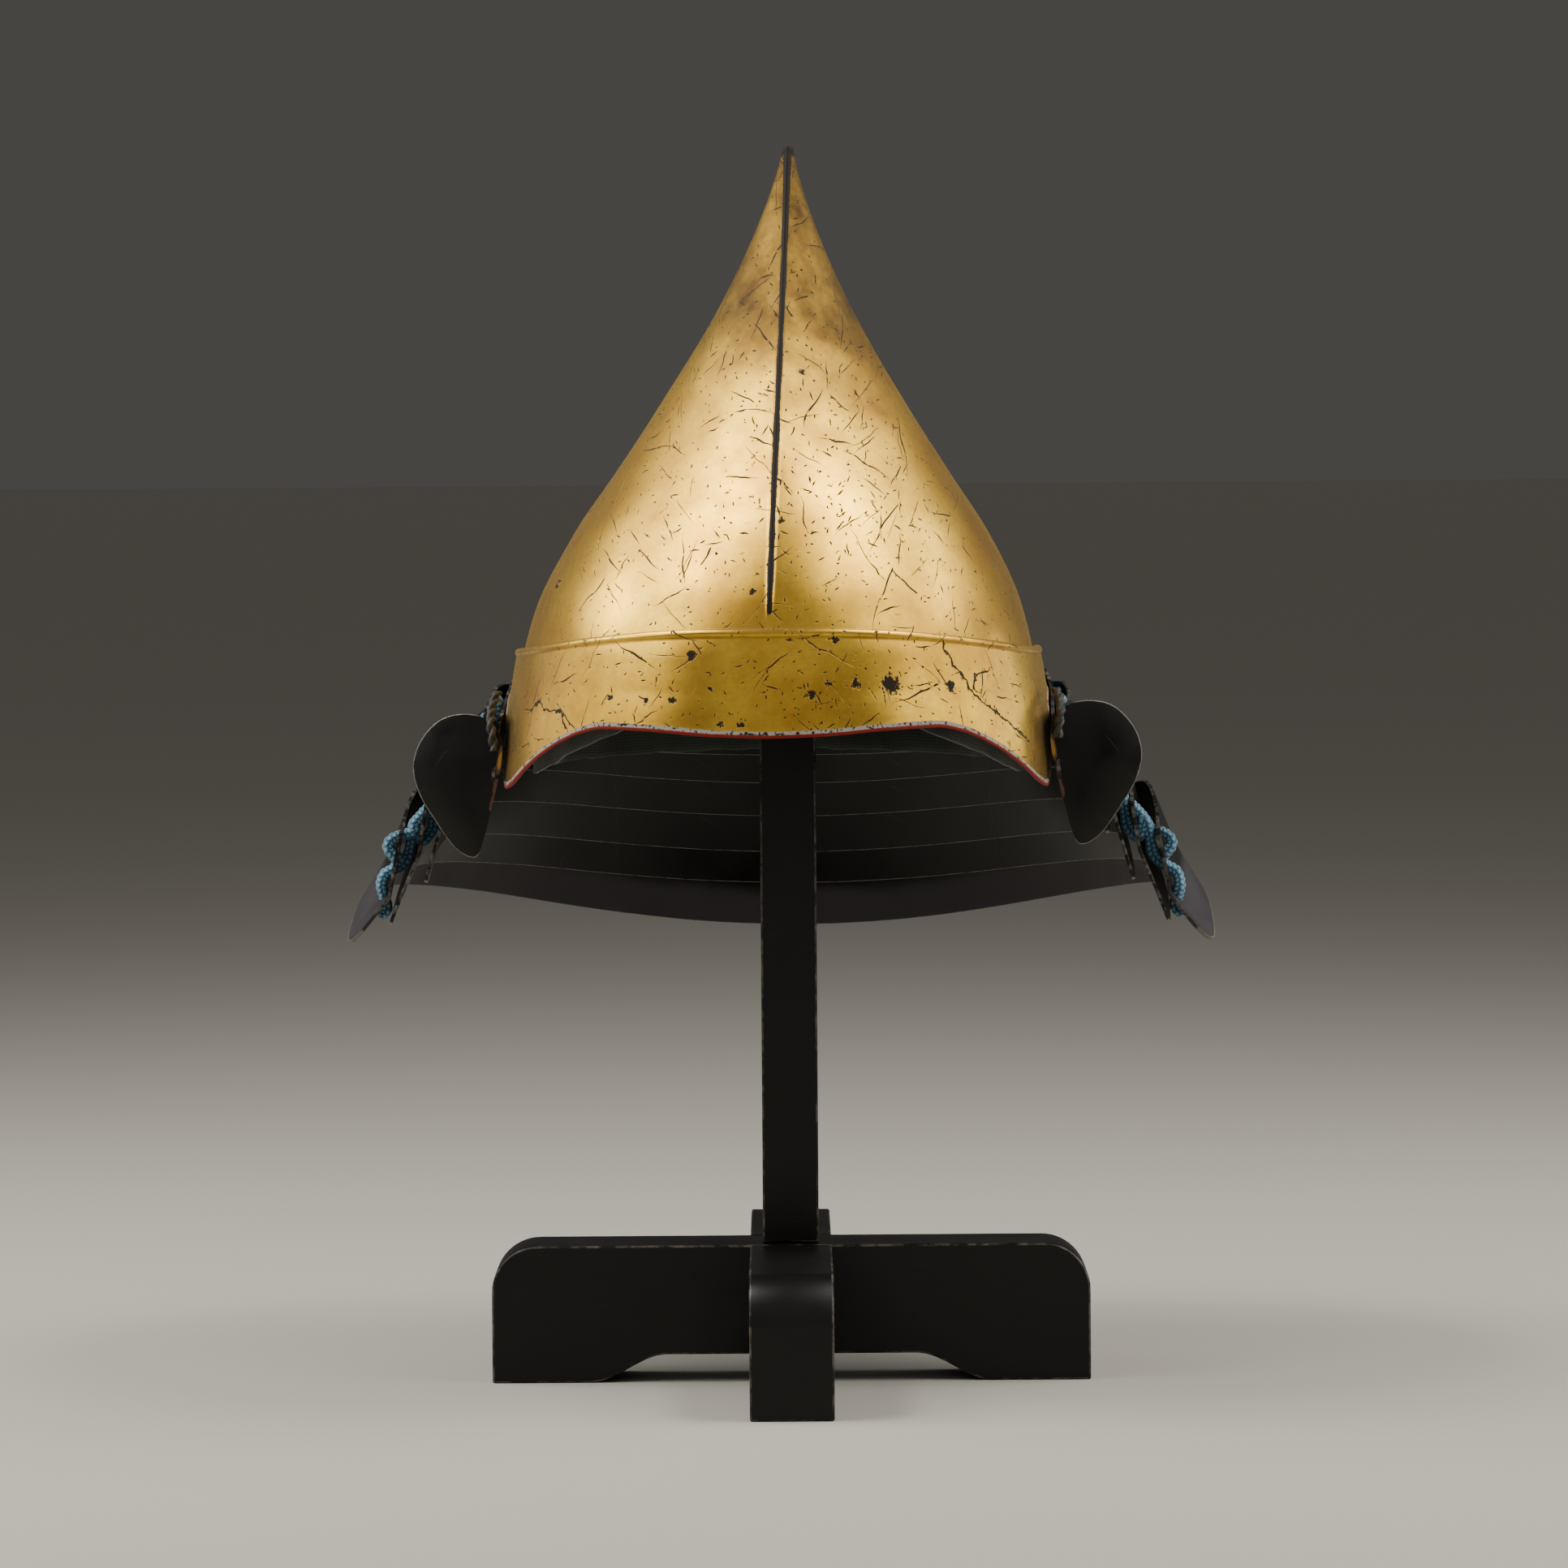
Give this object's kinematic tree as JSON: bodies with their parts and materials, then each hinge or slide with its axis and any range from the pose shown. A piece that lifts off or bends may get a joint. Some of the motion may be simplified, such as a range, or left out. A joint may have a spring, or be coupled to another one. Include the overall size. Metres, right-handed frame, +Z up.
{
  "type": "kabuto samurai helmet on a wooden stand",
  "caption": "Pointed, gilded samurai helmet with a brow peak, turn-backs and a laced neck guard, resting on the post of a plain cross-footed wooden stand.",
  "frame": {"origin": "on the floor under the post's axis, on the flat underside of the front-to-back board", "axes": "+Z is up, the wearer faces -Y, and +X is the wearer's left"},
  "size_m": [0.3726, 0.3373, 0.53],
  "materials": {
    "gilt_lacquer": "gold leaf under worn, scratched lacquer on iron",
    "black_lacquer": "glossy black lacquer on iron, worn at the edges",
    "lining_cloth": "grey-green woven cloth",
    "blue_cord": "round braided cord",
    "tie_leather": "dull twisted leather",
    "stand_lacquer": "black lacquered wood with rubbed edges"
  },
  "bodies": {
    "root": {"bowl": "gilt_lacquer", "brow_peak": "gilt_lacquer", "lining": "lining_cloth", "top_lame": "black_lacquer", "second_lame": "black_lacquer", "third_lame": "black_lacquer", "fourth_lame": "black_lacquer", "fifth_lame": "black_lacquer", "bottom_lame": "black_lacquer", "lacing_front_right": "blue_cord", "lacing_side_right": "blue_cord", "lacing_rear_right": "blue_cord", "lacing_nape": "blue_cord", "lacing_rear_left": "blue_cord", "lacing_side_left": "blue_cord", "lacing_front_left": "blue_cord", "tie_right": "tie_leather", "tie_left": "tie_leather", "post": "stand_lacquer", "crosswise_board": "stand_lacquer", "front_to_back_board": "stand_lacquer"}
  },
  "joints": []
}
